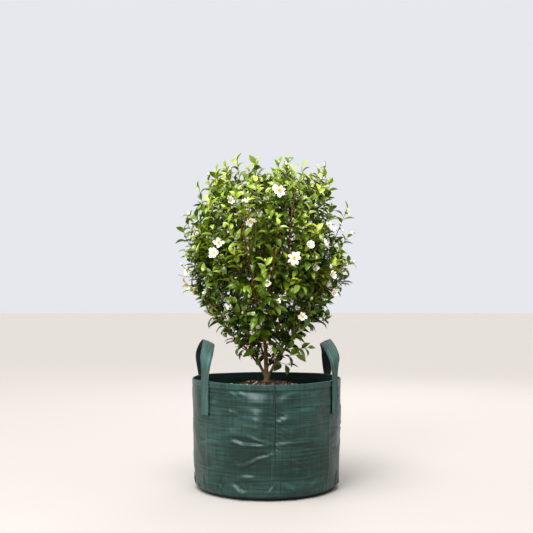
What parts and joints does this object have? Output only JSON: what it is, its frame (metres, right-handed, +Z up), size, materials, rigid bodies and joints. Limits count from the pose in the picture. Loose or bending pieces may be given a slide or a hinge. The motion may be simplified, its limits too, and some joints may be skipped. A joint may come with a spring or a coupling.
{
  "type": "camellia shrub",
  "caption": "Upright camellia shrub with an oval, leafy crown and single white flowers, growing from a short branching trunk in a round woven planter bag with carrying straps.",
  "frame": {"origin": "middle of the bag's flat underside, on the ground", "axes": "+Z up, -Y towards a viewer in front, +X to that viewer's right"},
  "size_m": [0.6109, 0.6077, 1.1226],
  "materials": {
    "bag": "woven tape with a coated, half-gloss face",
    "strap": "flat webbing, satin",
    "mix": "matt chips of bark",
    "bark": "matt, finely ridged bark",
    "foliage": "glossy leaves, with white flowers and cream buds"
  },
  "bodies": {
    "root": {"planter_bag": "bag", "potting_mix": "mix", "handle_left": "strap", "handle_right": "strap", "trunk": "bark", "stem_1": "bark", "stem_2": "bark", "stem_3": "bark", "stem_4": "bark", "stem_5": "bark", "bough_middle_1": "bark", "bough_middle_2": "bark", "bough_middle_3": "bark", "bough_middle_4": "bark", "bough_middle_5": "bark", "bough_middle_6": "bark", "bough_middle_7": "bark", "bough_lower_1": "bark", "bough_lower_2": "bark", "bough_lower_3": "bark", "bough_lower_4": "bark", "bough_lower_5": "bark", "bough_top": "bark", "bough_core": "bark", "foliage_upper_1": "foliage", "foliage_upper_2": "foliage", "foliage_upper_3": "foliage", "foliage_upper_4": "foliage", "foliage_upper_5": "foliage", "foliage_middle_1": "foliage", "foliage_middle_2": "foliage", "foliage_middle_3": "foliage", "foliage_middle_4": "foliage", "foliage_middle_5": "foliage", "foliage_middle_6": "foliage", "foliage_middle_7": "foliage", "foliage_lower_1": "foliage", "foliage_lower_2": "foliage", "foliage_lower_3": "foliage", "foliage_lower_4": "foliage", "foliage_lower_5": "foliage", "foliage_top": "foliage", "foliage_core": "foliage"}
  },
  "joints": []
}
